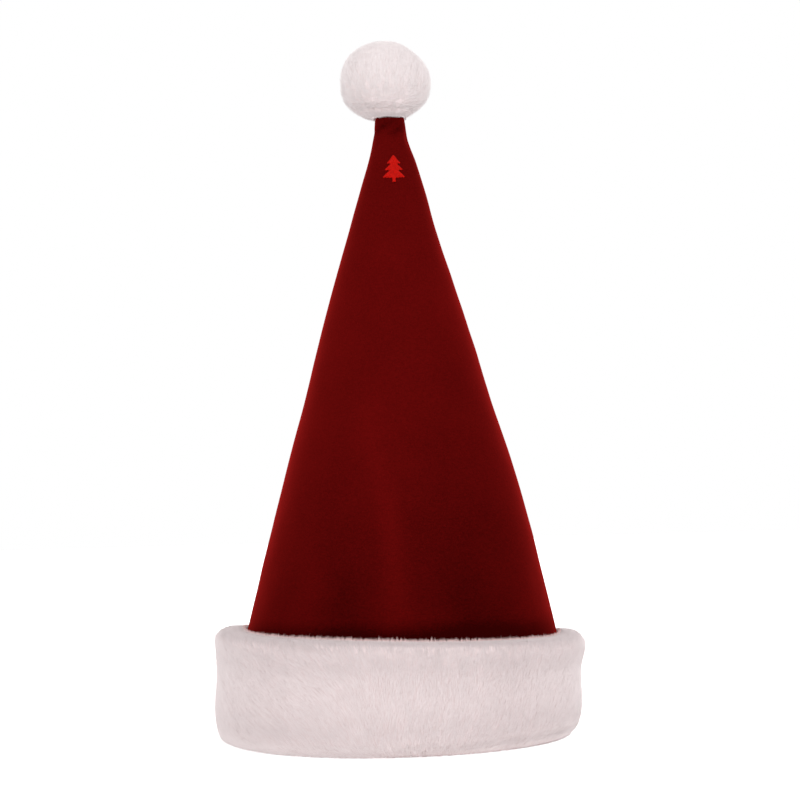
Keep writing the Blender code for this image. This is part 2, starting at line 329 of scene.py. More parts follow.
# Shares: rise of the cone's height; radius and drift to +X of the hem's radius
crownRise = (0, 0.100, 0.220, 0.340, 0.455, 0.570, 0.690, 0.800, 0.865, 0.915, 0.960, 1)
crownRadius = (1, 0.921, 0.823, 0.713, 0.601, 0.494, 0.378, 0.267, 0.207, 0.158, 0.117, 0.096)
crownDrift = (0, 0.010, 0.019, 0.020, 0.015, 0.014, 0.012, 0.014, 0.020, 0.023, 0.018, 0.014)
# Soft folds: middle and half angle in degrees, then low, peak and high as shares of the
# cone's height and the push outwards as a share of the hem's radius
crownFolds = (
    (-3, 16, 0.00, 0.10, 0.42, 0.013),
    (-24, 17, 0.00, 0.05, 0.24, -0.020),
    (24, 20, 0.00, 0.05, 0.32, -0.020),
    (-20, 24, 0.30, 0.42, 0.56, 0.010),
    (72, 40, 0.92, 0.965, 1.00, -0.010),
    (150, 26, 0.00, 0.07, 0.45, -0.014),
    (-140, 24, 0.00, 0.06, 0.36, -0.016),
)
# Slighter folds that lean: middle at the hem and at the top, half angle, then low, peak and
# high as before, the push outwards in metres, then painted light it adds, painted shade if below 0
leaningFolds = (
    (-1, -20, 9, -0.02, 0.16, 0.47, 0.0012, 0.20),
    (-18, -20, 15, 0.33, 0.40, 0.47, 0.0006, 0.08),
    (-21, -38, 15, -0.20, 0.02, 0.30, -0.0010, -0.14),
    (-38, -38, 9, -0.02, 0.09, 0.20, 0.0005, 0.05),
    (27, 27, 34, -0.20, 0.07, 0.46, -0.0012, -0.13),
    (38, 26, 44, 0.05, 0.36, 0.80, 0.0, -0.11),
    (168, 160, 24, -0.20, 0.05, 0.42, -0.0012, -0.26),
    (190, 204, 11, -0.02, 0.22, 0.55, 0.0012, 0.22),
    (-135, -150, 26, -0.20, 0.06, 0.40, -0.0012, -0.24),
    (110, 118, 20, -0.10, 0.12, 0.50, -0.0008, -0.12),
)
# Tone of the velvet, lighter up the cone, and the painted shade in creases and by the cuff and the
# pompom
velvetToneAndShade = {
    "low": 0.34,  # at the cuff
    "high": 0.60,  # from about half way up
    "climb": 0.55,  # share of the cone over which it goes from one to the other
    "crease": 330.0,  # painted shade taken off for each metre of a crease's depth
    "byCuff": 0.40,  # painted shade taken off close to the cuff, up to cuffBand above its shoulder
    "cuffBand": 0.017,
    # painted shade taken off close to the pompom, up to pompomBand below the neck
    "byPompom": 0.22,
    "pompomBand": 0.015,
    "fade": 0.013,
}
# Creases where the cloth is gathered under the pompom: bearing and height below the neck
# at each end, then width and depth
neckCreases = (
    (-68, 0.0090, 12, 0.0012, 0.0015, 0.00080),
    (-12, 0.0118, 60, 0.0042, 0.0017, 0.00080),
    (30, 0.0190, 98, 0.0100, 0.0020, 0.00065),
    (120, 0.0120, 160, 0.0030, 0.0020, 0.00055),
    (190, 0.0150, 215, 0.0040, 0.0020, 0.00045),
    (255, 0.0130, 285, 0.0035, 0.0018, 0.00050),
)


def turned(bearing, middle):
    # Bearing measured from a middle in degrees, from minus half a turn to half a turn
    return (bearing - math.radians(middle) + math.pi) % (2 * math.pi) - math.pi


def crownRadiusAt(bearing, height):
    # The section's radius with folds pushed in or out, each a hump round and a hump up
    rise = np.maximum(0.0, (height - crown["shoulder"]) / crown["coneHeight"])
    radius = follow(crownRise, crownRadius, rise)
    for middle, half, low, peak, high, push in crownFolds:
        half = math.radians(half)
        across = hump(turned(bearing, middle), -half, 0.0, half)
        radius = radius + push * across * hump(rise, low, peak, high)
    return crown["hemRadius"] * radius


def creaseDepth(bearing, height):
    # Each crease is a groove along a straight line on the unrolled neck, with a bell-shaped
    # section that fades towards both ends
    total = np.zeros(np.broadcast(bearing, height).shape)
    neckRadius = crown["hemRadius"] * crownRadius[-1]
    for startBearing, startDrop, endBearing, endDrop, width, depth in neckCreases:
        start = np.array((0.0, crown["neck"] - startDrop))
        end = np.array((math.radians(endBearing - startBearing) * neckRadius, crown["neck"] - endDrop))
        run = end - start
        length = np.linalg.norm(run)
        run /= length
        offset = (turned(bearing, startBearing) * neckRadius, height - start[1])
        along = (offset[0] * run[0] + offset[1] * run[1]) / length
        aside = offset[0] * run[1] - offset[1] * run[0]
        total = total + depth * np.exp(-((aside / width) ** 2)) * hump(along, -0.15, 0.5, 1.15)
    return total


def crownPoints(bearing, height, lift=0.0):
    # Out from the section's middle by its radius, a little less front to back
    radius = crownRadiusAt(bearing, height) + lift
    rise = np.maximum(0.0, (height - crown["shoulder"]) / crown["coneHeight"])
    middle = crown["middle"] + crown["hemRadius"] * follow(crownRise, crownDrift, rise)
    x = middle + radius * np.sin(bearing)
    y = -crown["depth"] * radius * np.cos(bearing)
    return np.stack(np.broadcast_arrays(x, y, height), -1)


def clothPoints(bearing, height):
    # The crown with its neck creases and the slack of real cloth, which dies out at the
    # cuff and at the neck
    points = crownPoints(bearing, height)
    aboveCuff = height - crown["shoulder"]
    free = ease(aboveCuff / crown["calm"]) * ease((crown["neck"] - height) / crown["calm"])
    broad, fine = crown["slackWaves"]
    slack = crown["slack"] * free * (0.7 * waves(points, broad, 11) + 0.3 * waves(points, fine, 12))
    slack = slack + ease(aboveCuff / 0.012) * leaning(bearing, height)[0]
    return crownPoints(bearing, height, slack - creaseDepth(bearing, height))


def leaning(bearing, height):
    # The push and the painted light and shade of all leaning folds, each a hump round its own
    # slanting line and a hump up it
    rise = (height - crown["shoulder"]) / crown["coneHeight"]
    total = np.zeros((2, *np.broadcast(bearing, height).shape))
    for hem, top, half, low, peak, high, push, paintedFoldTone in leaningFolds:
        half = math.radians(half)
        middle = math.radians(hem) + math.radians(top - hem) * np.clip(rise / high, 0.0, 1.0) ** 2
        shape = hump(turned(bearing - middle, 0), -half, 0.0, half) * hump(rise, low, peak, high)
        total = total + np.array((push, paintedFoldTone))[:, None, None] * shape
    return total


def velvetToneAndPaintedShade(bearing, height):
    # Tone of the velvet: lighter up the cone, painted light on raised folds and painted shade in
    # sunk ones, in creases and close to the cuff and the pompom
    rise = (height - crown["shoulder"]) / crown["coneHeight"]
    tone = velvetToneAndShade["low"] + (velvetToneAndShade["high"] - velvetToneAndShade["low"]) * ease((rise + 0.05) / velvetToneAndShade["climb"])
    tone = tone + leaning(bearing, height)[1] - velvetToneAndShade["crease"] * creaseDepth(bearing, height)
    toCuff = crown["shoulder"] + velvetToneAndShade["cuffBand"] - height
    toPompom = height - crown["neck"] + velvetToneAndShade["pompomBand"]
    tone = tone - velvetToneAndShade["byCuff"] * ease(toCuff / velvetToneAndShade["fade"])
    return tone - velvetToneAndShade["byPompom"] * ease(toPompom / velvetToneAndShade["fade"])


def makeCrown():
    bearing = np.linspace(0, 2 * math.pi, crown["columns"], endpoint=False)[None, :]
    inCuff = np.linspace(crown["hemLift"], crown["shoulder"], crown["hemRows"], endpoint=False)
    inCone = np.linspace(crown["shoulder"], crown["neck"], crown["coneRows"])
    sheet = clothPoints(bearing, np.concatenate([inCuff, inCone])[:, None])
    # The tip is a low dome over the neck
    turn = np.linspace(0, math.pi / 2, crown["tipRows"], endpoint=False)[1:, None]
    middle = np.array((sheet[-1, :, 0].mean(), 0.0))
    ring = (sheet[-1, :, :2] - middle)[None] * np.cos(turn)[..., None] + middle
    height = np.broadcast_to(crown["neck"] + crown["tipHeight"] * np.sin(turn), ring.shape[:2])
    dome = np.concatenate([ring, height[..., None]], -1)
    rows = np.concatenate([sheet, dome])
    pole = np.array([[*middle, crown["neck"] + crown["tipHeight"]]])
    points = np.concatenate([rows.reshape(-1, 3), pole])
    top = np.arange(crown["columns"]) + (len(rows) - 1) * crown["columns"]
    faces = [ringFaces(len(rows), crown["columns"]), poleFaces(top, len(points) - 1)]
    piece = newPiece("crown_velvet", points, faces, [velvet, backing])
    # Painted light and shade of the velvet, stored on the cloth's points
    tones = np.append(velvetToneAndPaintedShade(bearing, rows[..., 2]).ravel(), 0.0)
    layer = piece.data.attributes.new("napAndPaintedShade", "FLOAT", "POINT")
    layer.data.foreach_set("value", tones.astype(np.float32))
    wall = piece.modifiers.new("cloth", "SOLIDIFY")
    wall.thickness = crown["wall"]
    wall.offset = -1.0
    wall.use_even_offset = True
    wall.material_offset = 1
    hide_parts("crown")


makeCrown()
print("crown made")


# Hairs of plush

hairShape = {
    "widths": (0.75, 0.5),  # least share of the look's width, and what chance adds at most
    "ridge": 0.6,  # height of the section, a share of its width
    "turn": 0.45,  # how far its two upper sides are lit to the left and to the right
}


def layPile(name, roots, tips, normals, look, tones, material):
    # Each hair is a closed spike of three sides from a small triangle at its root to a
    # point at its tip. It is lit as the plush under it is, turned a little to each side.
    way = unit(tips - roots)
    side = unit(np.cross(way, normals))
    out = np.cross(side, way)
    least, more = hairShape["widths"]
    width = look["width"] * (least + more * look["random"].random((len(roots), 1)))
    left = roots - side * width / 2
    right = roots + side * width / 2
    ridge = roots + out * width * hairShape["ridge"]
    points = np.stack([left, right, ridge, tips], 1).reshape(-1, 3)
    first = 4 * np.arange(len(roots))[:, None, None]
    faces = (first + np.array([(1, 3, 2), (2, 3, 0), (0, 3, 1), (0, 1, 2)])).reshape(-1, 3)
    piece = newPiece(name, points, [faces], [material])
    # Tone across the map and root to tip up, with some width so that no face is a line
    half = 0.012
    corner = np.array([
        (half, 0), (0, 1), (0, 0), (0, 0), (0, 1), (-half, 0),
        (-half, 0), (0, 1), (half, 0), (-half, 0), (half, 0), (0, 0.03),
    ])
    spots = np.stack([np.clip(tones, 0.02, 0.98), np.full(len(tones), 0.0)], -1)[:, None, :] + corner
    spots[..., 1] = 0.01 + 0.98 * spots[..., 1]
    layer = piece.data.uv_layers.new(name=pileLook["mapName"])
    layer.uv.foreach_set("vector", spots.astype(np.float32).ravel())
    # The two upper sides share normals with the plush, and the underside and the root
    # keep their own
    turn = side * hairShape["turn"]
    leftLit, rightLit, lit, under = normals - turn, normals + turn, normals, -normals
    corners = [rightLit, lit, lit, lit, lit, leftLit, under, under, under, -way, -way, -way]
    piece.data.normals_split_custom_set(unit(np.stack(corners, 1)).reshape(-1, 3))


# Cuff: plush folded over into a thick roll round the hem

cuff = {
    "height": 0.0655,
    "wall": 0.0160,
    "gap": 0.0003,  # to the crown's cloth
    "lean": 0.0020,  # its outer face leans to +X from foot to crest
    "crestTilt": 0.055,  # crest higher at -X by this share of its height
    "crestBackDip": 0.055,  # the dips too are shares of its height
    "crestFrontDip": 0.022,
    "crestLeftDip": (0.006, -50, 45),  # then its middle and half angle in degrees
    "backStart": 0.55,  # share of the way to the back and to the front where a dip is full
    "frontStart": 0.45,
    "cornerTilt": 0.80,  # lower outer corner rounder at +X
    "cornerTop": 0.30,
    "cornerCut": 0.20,  # both lower outer corners cut off by this share of the wall
    "rightBulge": (0.16, 0.62, 0.89, 1.01),  # the crest bulges out: share of the wall, then
    "leftBulge": (0.09, 0.80, 0.94, 1.01),  # low, peak and high as shares of the height
    "hugStart": 0.93,  # above this share the inner face follows the crown
    "columns": 360,
    "rows": 64,
    "ground": 0.0020,  # the plush's ground lies this far under the tips of its hairs
    "sinkFoot": 0.004,  # metres of the section over which the ground sinks at each end
    "sinkCrest": 0.006,
    "footRun": 0.010,  # from the foot, metres of the section over which the pile deepens
    "innerShares": (0.70, 0.40, 0.05),  # heights of the rings down its inner face
    "footReach": 0.09 / 0.46,  # where the foot's own ring lies, from inner to outer face
}
cuff["outer"] = crown["hemRadius"] + cuff["gap"] + cuff["wall"]
# Section from the foot up the outer face and over the crest to the inner face: height as
# a share of the cuff's height, reach as a share of its wall
cuffHeights = (0.000, 0.008, 0.045, 0.100, 0.180, 0.290, 0.420, 0.530, 0.620, 0.710, 0.800,
               0.875, 0.935, 0.980, 1.000, 1.002, 0.998, 0.985)
cuffReaches = (0.460, 0.670, 0.850, 0.945, 0.985, 1.000, 0.985, 0.955, 0.950, 0.970, 0.995,
               0.980, 0.925, 0.810, 0.600, 0.340, 0.120, 0.000)
steps = np.hypot(np.diff(cuffHeights) * cuff["height"], np.diff(cuffReaches) * cuff["wall"])
cuffRun = np.concatenate([[0.0], np.cumsum(steps)])  # metres along the section at each row


def cuffPoints(bearing, along):
    # Between the crown's cloth and the cuff's round outer face, by the section's reach
    share = follow(cuffRun, cuffHeights, along)
    reach = follow(cuffRun, cuffReaches, along)
    across, deep = np.sin(bearing), -np.cos(bearing)
    corner = ease(2 * np.maximum(0.0, 1 - share / cuff["cornerTop"]))
    started = ease((along - cuffRun[1]) / (cuffRun[2] - cuffRun[1]))
    rounder = 1 + cuff["cornerTilt"] * across * corner * started
    reach = np.where(along < cuffRun[13], 1 - (1 - reach) * rounder, reach)
    reach = reach - cuff["cornerCut"] * across ** 2 * np.maximum(0.0, 1 - share / cuff["cornerTop"]) ** 2
    for side, name in ((across, "rightBulge"), (-across, "leftBulge")):
        push, low, peak, high = cuff[name]
        reach = reach + push * np.maximum(0.0, side) ** 3 * hump(share, low, peak, high)
    tilt = 1 - cuff["crestTilt"] * across - cuff["crestBackDip"] * ease(deep / cuff["backStart"])
    tilt = tilt - cuff["crestFrontDip"] * ease(-deep / cuff["frontStart"])
    dip, middle, half = cuff["crestLeftDip"]
    half = math.radians(half)
    tilt = tilt - dip * hump(turned(bearing, middle), -half, 0.0, half)
    height = cuff["height"] * tilt * share
    hugs = ease((share - cuff["hugStart"] + 0.02) / 0.02) * np.where(along > cuffRun[10], 1.0, 0.0)
    touched = crown["hemLift"] + (height - crown["hemLift"]) * hugs
    inner = crownPoints(bearing, touched, cuff["gap"])
    outerX = cuff["lean"] * (share - 0.5) + cuff["outer"] * across
    x = inner[..., 0] + (outerX - inner[..., 0]) * reach
    y = inner[..., 1] + (cuff["outer"] * deep - inner[..., 1]) * reach
    return np.stack(np.broadcast_arrays(x, y, height), -1)


def makeCuffGround():
    # The section's outer run, sunk by the depth of the pile, then straight down the
    # inner face and back along the foot
    bearing = np.linspace(0, 2 * math.pi, cuff["columns"], endpoint=False)[None, :]
    along = np.linspace(0, cuffRun[-1], cuff["rows"])[:, None]
    surface = cuffPoints(bearing, along)
    atFoot = ease((along + cuff["sinkFoot"] / 2) / cuff["sinkFoot"])
    sunk = cuff["ground"] * atFoot * ease((cuffRun[-1] - along) / cuff["sinkCrest"])
    surface = surface - smoothNormals(cuffPoints, bearing, along) * sunk[..., None]
    inner = []
    for share in cuff["innerShares"]:
        ring = crownPoints(bearing, np.full((1, 1), crown["hemLift"]), cuff["gap"])
        ring[..., 2] = share * cuff["height"]
        inner.append(ring)
    foot = surface[:1] * cuff["footReach"] + inner[-1] * (1 - cuff["footReach"])
    foot[..., 2] = 0.0
    rows = np.concatenate([surface, *inner, foot])
    closing = ringFaces(2, cuff["columns"])
    last = (len(rows) - 1) * cuff["columns"]
    closing = np.where(closing < cuff["columns"], closing + last, closing - cuff["columns"])
    faces = [ringFaces(len(rows), cuff["columns"]), closing]
    piece = newPiece("cuff_plush", rows.reshape(-1, 3), faces, [cuffGround])
    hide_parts("cuff")


cuffHairs = {
    "count": 37400,  # in each quarter of the cuff
    "lowShare": 0.10,  # of them crowd at the foot, shorter by lowLength
    "length": 0.0070,
    "lengths": (0.75, 1.2),  # shares of it, by chance
    "lowLength": 0.5,
    "width": 0.00034,
    "sunk": 0.0023,  # roots under the tips' surface
    "proud": 0.0001,
    "loose": 0.00032,  # how far tips stray in and out
    "uneven": (0.0028, 0.55, 0.45),  # of it: width of its tufts, their share, that of single hairs
    "level": 0.35,  # how far the light on a hair follows the up and down of the roll
    "swept": (-0.62, -120, -38, 18),  # slant in radians, then where in degrees round the hat
    "wander": ((0.16, 0.050, 31), (0.10, 0.016, 32)),  # slant, length of its waves, seed
    "stray": 0.13,  # slant of single hairs
    "tuft": 0.0034,  # width of a tuft, and the slant that its hairs share
    "tuftSlant": 0.10,
}
# Tone of the plush at half height, then the painted light and shade that each zone adds, as
# shares of the cuff's height
plushToneAndShade = {
    "middle": 0.83,
    "foot": (0.15, 0.07, 0.06),  # painted light added below this share, over this much
    "low": (-0.12, 0.05, 0.15, 0.42),  # painted shade added as a hump between these shares
    # painted shade in the roll's groove, as a hump between these shares
    "groove": (-0.22, 0.54, 0.80, 1.20),
    "crest": (-0.33, 0.83, 0.09),  # painted shade added above this share, over this much, by the crown
    "sides": 0.15,  # painted crest shade given back at both sides
    "broad": 0.035,  # slow changes round and up, tufts and single hairs
    "tuft": 0.03,
    "hair": 0.05,
}


def combing(bearing, points):
    # Sideways slant of the hairs: swept to -X at the left of the front, nearly upright
    # from the middle to the right, wandering slowly all round
    most, *zone = cuffHairs["swept"]
    slant = most * hump(turned(bearing, 0), *np.radians(zone))
    for most, length, seed in cuffHairs["wander"]:
        slant = slant + most * waves(points, length, seed)
    return slant


def plushPaintedShade(along):
    # Painted light and shade on the plush: palest half way up and at the foot, with painted
    # shade low on the roll and in its groove, and darkest on the crest by the crown
    share = follow(cuffRun, cuffHeights, along)
    tone = plushToneAndShade["middle"]
    added, top, over = plushToneAndShade["foot"]
    tone = tone + added * ease((top - share) / over)
    for added, low, peak, high in (plushToneAndShade["low"], plushToneAndShade["groove"]):
        tone = tone + added * hump(share, low, peak, high)
    added, bottom, over = plushToneAndShade["crest"]
    return tone + added * ease((share - bottom) / over)


def makeCuffPile(name, quarter, seed):
    rng = np.random.default_rng(seed)
    look = dict(cuffHairs, random=rng)
    count = look["count"]
    bearing = quarter + rng.uniform(-math.pi / 4, math.pi / 4, count)
    along = rng.uniform(0.0, cuffRun[-1] - 0.0030, count)
    low = rng.random(count) < look["lowShare"]
    along = np.where(low, rng.uniform(0.0, cuff["footRun"], count), along)
    roots = cuffPoints(bearing, along)
    normals = smoothNormals(cuffPoints, bearing, along)
    slant = combing(bearing, roots) + rng.normal(0, look["stray"], count)
    # Tufts: neighbours share a little of their slant and of their rise
    tuft = waves(roots, look["tuft"], seed + 1)
    slant = slant + look["tuftSlant"] * tuft
    length = look["length"] * rng.uniform(*look["lengths"], count)
    length = length * np.where(low, look["lowLength"], 1.0)
    tipBearing = bearing + length * np.sin(slant) / cuff["outer"]
    tipAlong = np.clip(along + length * np.cos(slant), 0.0, cuffRun[-1] - 0.0005)
    tipNormals = smoothNormals(cuffPoints, tipBearing, tipAlong)
    width, byTuft, single = look["uneven"]
    uneven = byTuft * waves(roots, width, seed + 2) + single * rng.normal(size=count)
    out = look["proud"] + look["loose"] * uneven
    tips = cuffPoints(tipBearing, tipAlong) + tipNormals * out[:, None]
    depth = look["sunk"] * (0.25 + 0.75 * ease(along / cuff["footRun"]))
    roots = roots - normals * depth[:, None]
    roots[:, 2] = np.maximum(roots[:, 2], 0.0005)
    tips[:, 2] = np.maximum(tips[:, 2], 0.0003)
    # Painted shade by height on the roll, less on the crest at both sides, then each hair's own tone
    onCrest = ease((along / cuffRun[10] - 0.85) / 0.15)
    tones = plushPaintedShade(along) + plushToneAndShade["sides"] * np.sin(bearing) ** 4 * onCrest
    tones = tones + plushToneAndShade["broad"] * waves(roots, 0.011, seed + 3)
    tones = tones + plushToneAndShade["tuft"] * tuft + rng.normal(0, plushToneAndShade["hair"], count)
    lit = unit((normals + tipNormals) * (1, 1, look["level"]))
    layPile(name, roots, tips, lit, look, tones, cuffPile)


fringe = {
    "count": 13500,
    "band": (0.0002, 0.0026),  # from the crest's inner end
    "length": 0.0026,
    "lengths": (0.45, 1.3),
    "width": 0.00024,
    "tuft": 0.0008,  # width of a tuft
    "drawn": (0.35, 0.2),  # slant to a side, of tufts and of single hairs
    "clear": 0.0004,  # of the cloth
    "tone": (0.5, 0.2),
    "sunk": 0.0008,
    "lean": 0.15,  # towards the crown
    "uneven": (0.55, 0.30, 0.06),  # share of the length, what tufts and slow changes add
    "sideLow": 0.6,  # taken off at both sides
    "random": np.random.default_rng(77),
}


def makeFringe():
    # Short fine tufts on the crest that lean over against the crown's cloth
    rng = fringe["random"]
    count = fringe["count"]
    bearing = rng.uniform(0, 2 * math.pi, count)
    along = cuffRun[-1] - rng.uniform(*fringe["band"], count)
    roots = cuffPoints(bearing, along)
    normals = smoothNormals(cuffPoints, bearing, along)
    crest = np.stack([np.sin(bearing), -np.cos(bearing), np.zeros(count)], -1)
    ring = roots * (1, 1, 0)
    usual, byTuft, slow = fringe["uneven"]
    height = usual + byTuft * waves(ring, fringe["tuft"] * 2, 41) + slow * waves(ring, 0.007, 42)
    height = np.clip(height, 0.2, 1.0) * (1 - fringe["sideLow"] * np.abs(np.sin(bearing)) ** 8)
    length = fringe["length"] * height * rng.uniform(*fringe["lengths"], count)
    byTuft, single = fringe["drawn"]
    drawn = byTuft * waves(ring, fringe["tuft"] * 2.4, 43) + rng.normal(0, single, count)
    side = np.stack([np.cos(bearing), np.sin(bearing), np.zeros(count)], -1)
    way = unit(np.array((0.0, 0.0, 1.0)) - crest * fringe["lean"] + side * drawn[:, None])
    tips = roots + way * length[:, None]
    # No tip goes through the cloth
    fromMiddle = tips[:, 0] - crown["middle"]
    cloth = crownPoints(np.arctan2(fromMiddle, -tips[:, 1]), tips[:, 2], fringe["clear"])
    clothReach = np.hypot(cloth[:, 0] - crown["middle"], cloth[:, 1])
    inside = np.hypot(fromMiddle, tips[:, 1]) < clothReach
    tips = np.where(inside[:, None], cloth, tips)
    roots = roots - normals * fringe["sunk"]
    usual, single = fringe["tone"]
    tones = usual + rng.normal(0, single, count)
    lit = unit((normals + crest) * (1, 1, cuffHairs["level"]))
    layPile("cuff_fringe", roots, tips, lit, fringe, tones, fringePile)


makeCuffGround()
for number, part in enumerate(("front", "right", "back", "left")):
    makeCuffPile("cuff_pile_" + part, number * math.pi / 2, 100 + 10 * number)
makeFringe()
print("cuff made")


# Pompom: a stuffed ball of plush gathered round the crown's tip

pompom = {
    "width": 0.0550,
    "height": 0.0492,
    "shift": -0.0027,
    "lift": 0.0002,
    "upperPower": 2.05,  # 2 is an ellipse, more is squarer
    "lowerPower": 2.35,
    "rim": 0.0016,
    "columns": 120,
    "rows": 60,
    "ground": 0.0018,  # depth of its ground under the tips of the hairs
    "groundAtRim": 0.75,  # share of it at the seat's rim
    "ripples": ((0.004, 1.1, 51), (0.002, 0.5, 52)),  # depth, length of waves, seed
    "lumpsAhead": -0.15,  # lumps face a little to the front
    # Rings of the seat round the crown's tip: shares of the seat's radius and the tip's height
    "seatRings": ((0.60, 0.90), (0.98, 0.55), (1.02, 0.30), (1.10, 0.12)),
}
tipMiddle = crown["middle"] + crown["hemRadius"] * crownDrift[-1]
pompom["bottom"] = crown["neck"] + pompom["lift"]
# Lumps of the ball: across to +X and up of the way they face, half angle in degrees, push
# outwards as a share of its radius
pompomLumps = (
    (1.0, -0.12, 55, 0.060),
    (0.75, 0.60, 42, -0.036),
    (-0.8, 0.55, 30, 0.014),
    (-0.9, -0.5, 34, 0.020),
    (-0.40, -0.9, 40, -0.040),
    (0.55, -0.85, 30, -0.024),
    (0.9, -0.5, 26, 0.010),
)
pompomMiddle = np.array((tipMiddle + pompom["shift"], 0.0, pompom["bottom"] + pompom["height"] / 2))


def pompomPoints(ways):
    # The superellipsoid's point in each direction from its middle: the direction over the
    # root of the sum of its width and height shares, each raised to the outline's power
    ways = unit(ways)
    flat = np.hypot(ways[..., 0], ways[..., 1]) / (pompom["width"] / 2)
    high = np.abs(ways[..., 2]) / (pompom["height"] / 2)
    power = np.where(ways[..., 2] > 0, pompom["upperPower"], pompom["lowerPower"])
    size = (flat ** power + high ** power) ** (-1 / power)
    lumps = 1.0
    for depth, length, seed in pompom["ripples"]:
        lumps = lumps + depth * waves(ways, length, seed)
    for across, up, half, push in pompomLumps:
        middle = unit(np.array((across, pompom["lumpsAhead"], up)))
        apart = np.arccos(np.clip(ways @ middle, -1.0, 1.0))
        lumps = lumps + push * ease(1 - apart / math.radians(half))
    return pompomMiddle + ways * (size * lumps)[..., None]


def pompomNormals(ways, step=0.002):
    # Cross product of the slopes to two sides
    ways = unit(ways)
    side = unit(np.cross(ways, np.array((0.31, -0.95, 0.02))))
    up = np.cross(ways, side)
    across = pompomPoints(ways + side * step) - pompomPoints(ways - side * step)
    rising = pompomPoints(ways + up * step) - pompomPoints(ways - up * step)
    return unit(np.cross(across, rising))


def makePompomGround():
    # Rings of directions from the seat's rim to the top, sunk by the pile's depth, and
    # the seat in the underside for the crown's tip
    bearing = np.linspace(0, 2 * math.pi, pompom["columns"], endpoint=False)[None, :]
    seat = crown["hemRadius"] * crownRadius[-1] + cuff["gap"]
    start = -math.acos((seat + pompom["rim"] * 1.6) / (pompom["width"] / 2)) - 0.02
    climb = np.linspace(start, math.pi / 2, pompom["rows"], endpoint=False)[:, None]
    flat, high = np.cos(climb), np.sin(climb)
    ways = np.stack(np.broadcast_arrays(flat * np.sin(bearing), -flat * np.cos(bearing), high), -1)
    atRim = pompom["groundAtRim"]
    depth = pompom["ground"] * (atRim + (1 - atRim) * ease((climb - start) / 0.15))
    ball = pompomPoints(ways) - pompomNormals(ways) * depth[..., None]
    rings = []
    for wide, height in pompom["seatRings"]:
        radius = seat * wide
        high = crown["neck"] + crown["tipHeight"] * height + cuff["gap"]
        ring = (tipMiddle + radius * np.sin(bearing), -radius * np.cos(bearing), high)
        rings.append(np.stack(np.broadcast_arrays(*ring), -1))
    rows = np.concatenate([*rings, ball])
    low = np.array([[tipMiddle, 0.0, crown["neck"] + crown["tipHeight"] + cuff["gap"]]])
    top = pompomPoints(np.array([[0.0, 0.0, 1.0]])) - np.array((0.0, 0.0, pompom["ground"]))
    points = np.concatenate([rows.reshape(-1, 3), low, top])
    columns = pompom["columns"]
    first, last = np.arange(columns), np.arange(columns) + (len(rows) - 1) * columns
    faces = [ringFaces(len(rows), columns), poleFaces(first, len(points) - 2, upwards=False),
             poleFaces(last, len(points) - 1)]
    piece = newPiece("pompom_plush", points, faces, [pompomGround])
    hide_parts("pompom")


pompomHairs = {
    "count": 34000,
    "length": 0.0052,
    "lengths": (0.7, 1.2),
    "width": 0.00032,
    "sunk": 0.0019,
    "proud": 0.0001,
    "loose": 0.0003,
    "uneven": (0.0036, 0.8, 0.25),
    "seatClear": 0.0008,  # none grow this close to the crown's tip
    "comb": (0.05, 0.25, 0.97),  # the hairs run up over the ball from its underside
    "parting": (0.35, 0.55),  # where they start to lie with the comb, and over how much
    "partedStray": 0.9,
    "partedShort": 0.55,  # taken off their length
    "tufts": ((0.012, 0.35, 62), (0.0040, 0.40, 66)),  # width, how far they stray, first seed
    "tuftTop": (0.002, 0.010),  # tufts fade out here over the middle, over this height
    "tuftRest": 0.05,  # share of them that stays above
    "stray": 0.10,
    "level": 0.6,
    "tone": (0.85, 0.02, 0.045),  # then how much it changes slowly and from hair to hair
    "shade": (0.15, -0.001, 0.014),  # painted shade taken off the tone from just below the middle down
    "random": np.random.default_rng(61),
}
# Hairs from the ball's underside in and down to the crown's neck
collar = {
    "count": 2600,
    "drop": (0.40, 0.70),  # radians from straight down, where they start
    "neckGap": 0.0005,
    "above": 0.0007,  # above the neck, where they end
    "sideRise": 0.0011,  # a little higher at both sides
    "uneven": 0.0004,
    # painted shade under the ball: darker tones than the ball's hairs
    "tones": (0.40, 0.65),
}


